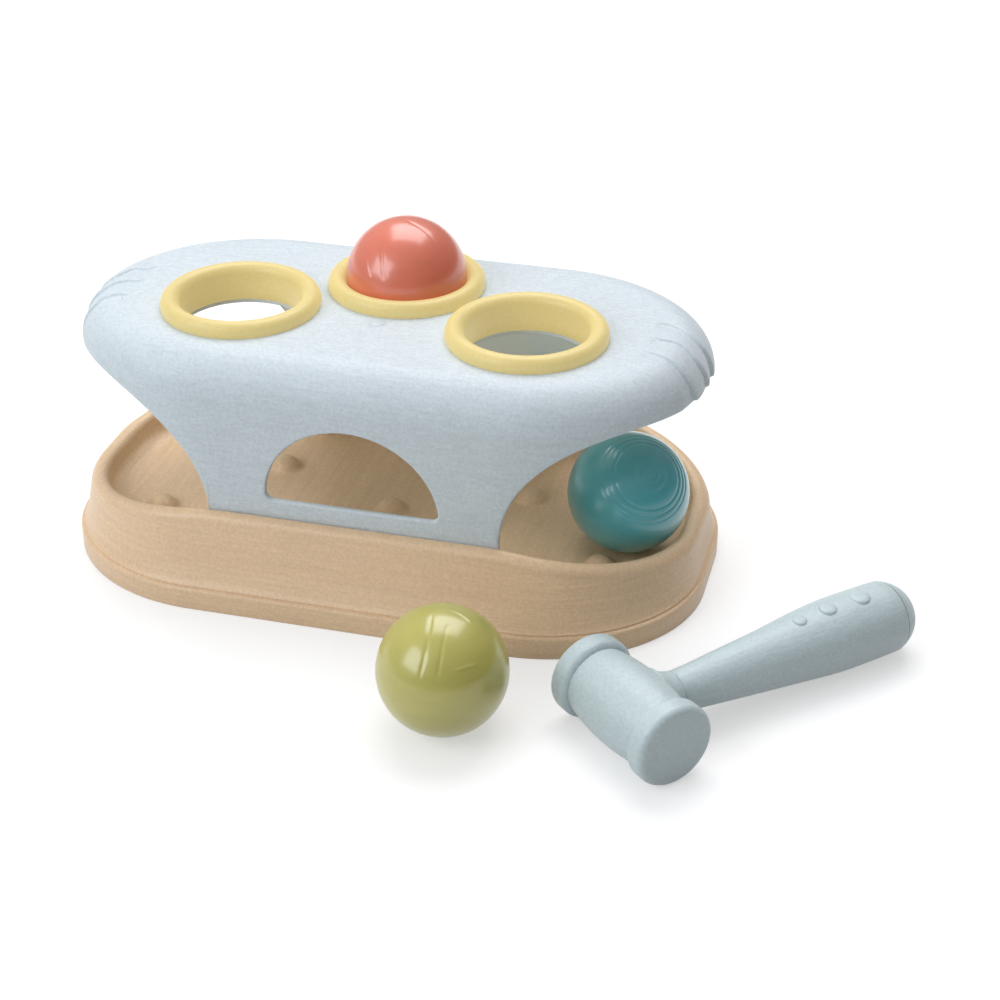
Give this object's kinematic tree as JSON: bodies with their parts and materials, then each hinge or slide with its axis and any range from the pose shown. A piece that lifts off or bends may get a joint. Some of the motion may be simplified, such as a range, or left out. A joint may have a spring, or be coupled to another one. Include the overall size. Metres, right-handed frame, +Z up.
{
  "type": "ball pounding bench with mallet",
  "caption": "Moulded toddler pounding bench with ring holes over a catch tray, loose balls and a mallet",
  "frame": {"origin": "centre of the base plate's underside", "axes": "X along the bench, -Y towards its front, +Z up"},
  "size_m": [0.3244, 0.2082, 0.1247],
  "materials": {
    "tan_shell": "moulded plastic with a fine fibre grain",
    "pale_blue_shell": "moulded plastic with a fine fibre grain",
    "yellow_ring": "soft satin plastic",
    "screw_steel": "plain steel",
    "red_ball": "glossy moulded plastic",
    "teal_ball": "glossy moulded plastic",
    "green_ball": "glossy moulded plastic",
    "pale_blue_mallet": "satin moulded plastic"
  },
  "bodies": {
    "bench": {"tray": "tan_shell", "base_plate": "tan_shell", "bench_body": "pale_blue_shell", "left_ring": "yellow_ring", "middle_ring": "yellow_ring", "right_ring": "yellow_ring", "body_screws": "screw_steel", "base_screws": "screw_steel"},
    "red_ball": {"red_ball_top": "red_ball", "red_ball_bottom": "red_ball"},
    "teal_ball": {"teal_ball_top": "teal_ball", "teal_ball_bottom": "teal_ball"},
    "green_ball": {"green_ball_top": "green_ball", "green_ball_bottom": "green_ball"},
    "hammer": {"hammer_head": "pale_blue_mallet", "hammer_front_face": "pale_blue_mallet", "hammer_back_face": "pale_blue_mallet", "hammer_handle": "pale_blue_mallet", "hammer_end_cap": "pale_blue_mallet"}
  },
  "joints": [
    {"name": "red_ball_push", "type": "slide", "parent": "bench", "child": "red_ball", "axis": [0, 0, -1], "range_m": [-0.03, 0.0634]},
    {"name": "teal_ball_roll", "type": "slide", "parent": "bench", "child": "teal_ball", "axis": [1, 0, 0], "range_m": [-0.058, 0.0015]},
    {"name": "green_ball_lift", "type": "slide", "parent": "bench", "child": "green_ball", "axis": [0, 0, 1], "range_m": [0, 0.06]},
    {"name": "hammer_lift", "type": "slide", "parent": "bench", "child": "hammer", "axis": [0, 0, 1], "range_m": [0, 0.08]}
  ]
}
